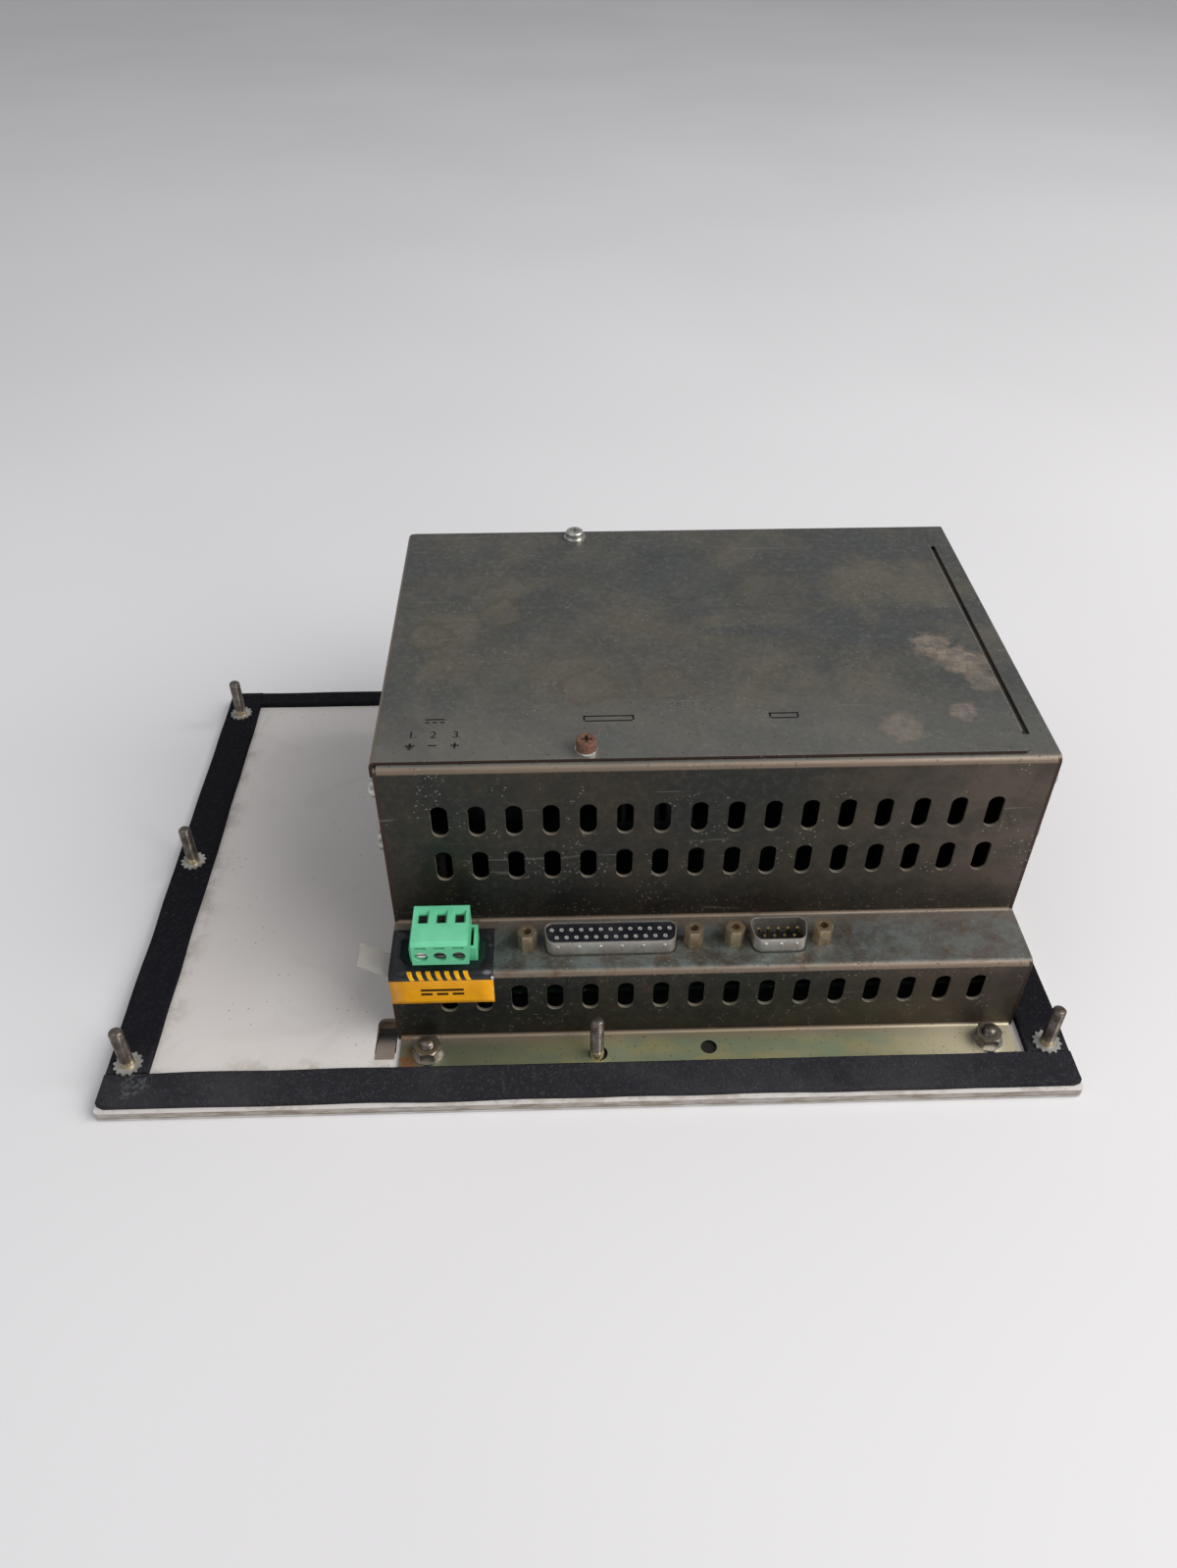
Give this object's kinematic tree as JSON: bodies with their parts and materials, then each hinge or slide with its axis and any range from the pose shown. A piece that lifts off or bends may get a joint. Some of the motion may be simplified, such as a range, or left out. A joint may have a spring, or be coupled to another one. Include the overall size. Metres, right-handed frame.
{
  "type": "hmi touch panel",
  "caption": "Flush-mount operator panel with a touch display, a numeric keypad, edge studs, a foam gasket and a vented steel rear chassis with serial ports and a pluggable power terminal.",
  "frame": {"origin": "centre of the front face, where the panel rests when it lies face down", "axes": "+Z out of the panel's back, +X along the long edge (to the right seen from behind with the ports at the bottom), +Y up the panel"},
  "size_m": [0.276, 0.194, 0.093],
  "materials": {
    "overlay": "fine matt texture, printed",
    "keycap": "fine matt texture, printed",
    "circuit_film": "adhesive and film edge",
    "coated_plate": "smooth off-white coating",
    "window_film": "clear film, slightly matt",
    "touch_glass": "clear",
    "display_glass": "dark, matt polariser",
    "backlight_plastic": "clear light guide",
    "foam": "black closed-cell foam",
    "stud_steel": "dulled zinc plating",
    "washer_steel": "bright spring steel",
    "nut_steel": "dulled zinc plating",
    "aged_zinc": "aged yellow-zinc sheet, stained",
    "display_frame": "tinned sheet",
    "bright_screw": "bright zinc",
    "rusty_screw": "rusted",
    "terminal_green": "satin moulded",
    "contact_metal": "gold flash",
    "clamp_metal": "nickel plated",
    "connector_shell": "tin plated, dulled",
    "connector_black": "moulded",
    "jackpost_steel": "tarnished plating",
    "label": "printed film, black and amber",
    "clear_film": "clear film, slightly yellowed",
    "circuit_board": "solder mask",
    "component_black": "moulded packages"
  },
  "bodies": {
    "panel": {"front_overlay": "overlay", "membrane_circuit": "circuit_film", "front_panel_plate": "coated_plate", "keypad_tail": "clear_film", "display_window": "window_film", "touch_sensor": "touch_glass", "lcd_bezel": "display_frame", "lcd_glass": "display_glass", "backlight": "backlight_plastic", "panel_gasket": "foam", "mounting_studs": "stud_steel", "stud_lock_washers": "washer_steel", "chassis_studs": "stud_steel", "chassis_washers": "washer_steel", "chassis_nuts": "nut_steel", "chassis": "aged_zinc", "chassis_step": "aged_zinc", "left_side_plate": "aged_zinc", "right_end_plate": "aged_zinc", "side_plate_screws": "bright_screw", "rear_cover": "aged_zinc", "far_cover_screw": "bright_screw", "near_cover_screw": "rusty_screw", "cover_screw_washers": "washer_steel", "insulation_film": "clear_film", "power_label": "label", "power_header": "terminal_green", "header_pins": "contact_metal", "db25_shell": "connector_shell", "db25_insulator": "connector_black", "db25_contacts": "contact_metal", "de9_shell": "connector_shell", "de9_insulator": "connector_black", "de9_pins": "contact_metal", "connector_jackposts": "jackpost_steel", "main_board": "circuit_board", "board_components": "component_black", "power_board": "circuit_board", "board_standoffs": "clamp_metal", "board_screws": "clamp_metal"},
    "plug": {"power_plug": "terminal_green", "plug_contacts": "contact_metal"},
    "clamp_screw_1": {"clamp_screw_1": "clamp_metal"},
    "clamp_cage_1": {"clamp_cage_1": "clamp_metal"},
    "clamp_screw_2": {"clamp_screw_2": "clamp_metal"},
    "clamp_cage_2": {"clamp_cage_2": "clamp_metal"},
    "clamp_screw_3": {"clamp_screw_3": "clamp_metal"},
    "clamp_cage_3": {"clamp_cage_3": "clamp_metal"},
    "key_1": {"key_1": "keycap"},
    "key_2": {"key_2": "keycap"},
    "key_3": {"key_3": "keycap"},
    "key_4": {"key_4": "keycap"},
    "key_5": {"key_5": "keycap"},
    "key_6": {"key_6": "keycap"},
    "key_7": {"key_7": "keycap"},
    "key_8": {"key_8": "keycap"},
    "key_9": {"key_9": "keycap"},
    "key_minus": {"key_minus": "keycap"},
    "key_0": {"key_0": "keycap"},
    "key_point": {"key_point": "keycap"}
  },
  "joints": [
    {"name": "plug_slide", "type": "slide", "parent": "panel", "child": "plug", "axis": [0, 0, 1], "range_m": [0, 0.0095]},
    {"name": "clamp_turn_1", "type": "hinge", "parent": "plug", "child": "clamp_screw_1", "pos_m": [-0.04593, -0.07, 0.04], "axis": [0, 1, 0], "range_deg": [0, 1440]},
    {"name": "clamp_lift_1", "type": "slide", "parent": "plug", "child": "clamp_cage_1", "axis": [0, -1, 0], "range_m": [0, 0.002]},
    {"name": "clamp_turn_2", "type": "hinge", "parent": "plug", "child": "clamp_screw_2", "pos_m": [-0.04085, -0.07, 0.04], "axis": [0, 1, 0], "range_deg": [0, 1440]},
    {"name": "clamp_lift_2", "type": "slide", "parent": "plug", "child": "clamp_cage_2", "axis": [0, -1, 0], "range_m": [0, 0.002]},
    {"name": "clamp_turn_3", "type": "hinge", "parent": "plug", "child": "clamp_screw_3", "pos_m": [-0.03577, -0.07, 0.04], "axis": [0, 1, 0], "range_deg": [0, 1440]},
    {"name": "clamp_lift_3", "type": "slide", "parent": "plug", "child": "clamp_cage_3", "axis": [0, -1, 0], "range_m": [0, 0.002]},
    {"name": "press_1", "type": "slide", "parent": "panel", "child": "key_1", "axis": [0, 0, 1], "range_m": [0, 0.00035], "stiffness_N_per_m": 2000},
    {"name": "press_2", "type": "slide", "parent": "panel", "child": "key_2", "axis": [0, 0, 1], "range_m": [0, 0.00035], "stiffness_N_per_m": 2000},
    {"name": "press_3", "type": "slide", "parent": "panel", "child": "key_3", "axis": [0, 0, 1], "range_m": [0, 0.00035], "stiffness_N_per_m": 2000},
    {"name": "press_4", "type": "slide", "parent": "panel", "child": "key_4", "axis": [0, 0, 1], "range_m": [0, 0.00035], "stiffness_N_per_m": 2000},
    {"name": "press_5", "type": "slide", "parent": "panel", "child": "key_5", "axis": [0, 0, 1], "range_m": [0, 0.00035], "stiffness_N_per_m": 2000},
    {"name": "press_6", "type": "slide", "parent": "panel", "child": "key_6", "axis": [0, 0, 1], "range_m": [0, 0.00035], "stiffness_N_per_m": 2000},
    {"name": "press_7", "type": "slide", "parent": "panel", "child": "key_7", "axis": [0, 0, 1], "range_m": [0, 0.00035], "stiffness_N_per_m": 2000},
    {"name": "press_8", "type": "slide", "parent": "panel", "child": "key_8", "axis": [0, 0, 1], "range_m": [0, 0.00035], "stiffness_N_per_m": 2000},
    {"name": "press_9", "type": "slide", "parent": "panel", "child": "key_9", "axis": [0, 0, 1], "range_m": [0, 0.00035], "stiffness_N_per_m": 2000},
    {"name": "press_minus", "type": "slide", "parent": "panel", "child": "key_minus", "axis": [0, 0, 1], "range_m": [0, 0.00035], "stiffness_N_per_m": 2000},
    {"name": "press_0", "type": "slide", "parent": "panel", "child": "key_0", "axis": [0, 0, 1], "range_m": [0, 0.00035], "stiffness_N_per_m": 2000},
    {"name": "press_point", "type": "slide", "parent": "panel", "child": "key_point", "axis": [0, 0, 1], "range_m": [0, 0.00035], "stiffness_N_per_m": 2000}
  ],
  "couplings": [
    {"joint": "clamp_turn_1", "follows": "clamp_lift_1", "rad_per_m": 12566},
    {"joint": "clamp_turn_2", "follows": "clamp_lift_2", "rad_per_m": 12566},
    {"joint": "clamp_turn_3", "follows": "clamp_lift_3", "rad_per_m": 12566}
  ]
}
